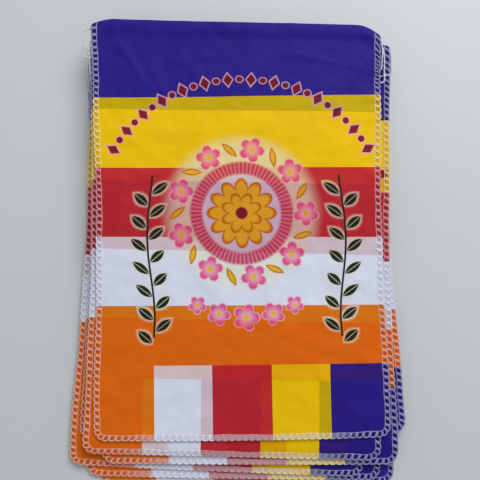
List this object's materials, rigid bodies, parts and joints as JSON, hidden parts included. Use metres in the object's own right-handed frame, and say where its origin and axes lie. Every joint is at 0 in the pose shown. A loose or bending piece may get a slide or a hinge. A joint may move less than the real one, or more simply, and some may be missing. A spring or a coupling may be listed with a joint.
{
  "type": "string of bunting flags",
  "caption": "Pile of striped rectangular bunting flags with overlocked edges, threaded through their hems on one thin string and put away flat.",
  "frame": {"origin": "on the surface that the pile lies on, under the middle of the flags", "axes": "+X across the flags, +Y up them from the free edge to the hem, +Z up"},
  "size_m": [0.2286, 0.322, 0.025],
  "materials": {
    "striped_cloth": "thin printed polyester knit with a soft sheen, in bands of blue, yellow, red, white and orange",
    "white_thread": "white twisted polyester, matt"
  },
  "bodies": {
    "root": {"flag_1": "striped_cloth", "flag_2": "striped_cloth", "flag_3": "striped_cloth", "flag_4": "striped_cloth", "flag_5": "striped_cloth", "flag_6": "striped_cloth", "flag_7": "striped_cloth", "flag_8": "striped_cloth", "string": "white_thread"}
  },
  "joints": []
}
